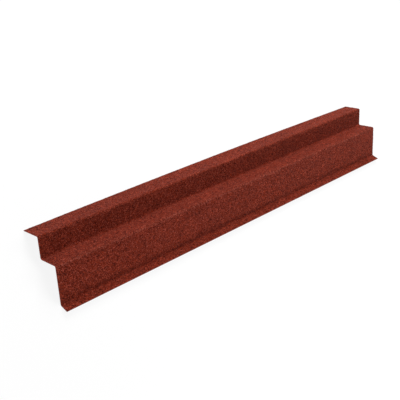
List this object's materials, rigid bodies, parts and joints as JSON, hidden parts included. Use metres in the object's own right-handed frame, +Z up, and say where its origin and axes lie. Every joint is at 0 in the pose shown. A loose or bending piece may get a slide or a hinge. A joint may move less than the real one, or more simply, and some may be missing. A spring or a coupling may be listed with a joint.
{
  "type": "eaves flashing",
  "caption": "Straight stone-coated steel eaves flashing, folded to a stepped section: top flange, riser, tread, fascia drop and a kicked-out drip lip.",
  "frame": {"origin": "centre of the strip's length and width, on the floor it lies on", "axes": "+X along the eaves, +Y towards the top flange, +Z up; it lies coated face up on the flange's back edge and the fold above the drip lip"},
  "size_m": [1.25, 0.203, 0.0549],
  "materials": {
    "stone_coat": "matt terracotta stone chip coat on steel sheet, bare face plain coated steel"
  },
  "bodies": {
    "root": {"eaves_flashing": "stone_coat"}
  },
  "joints": []
}
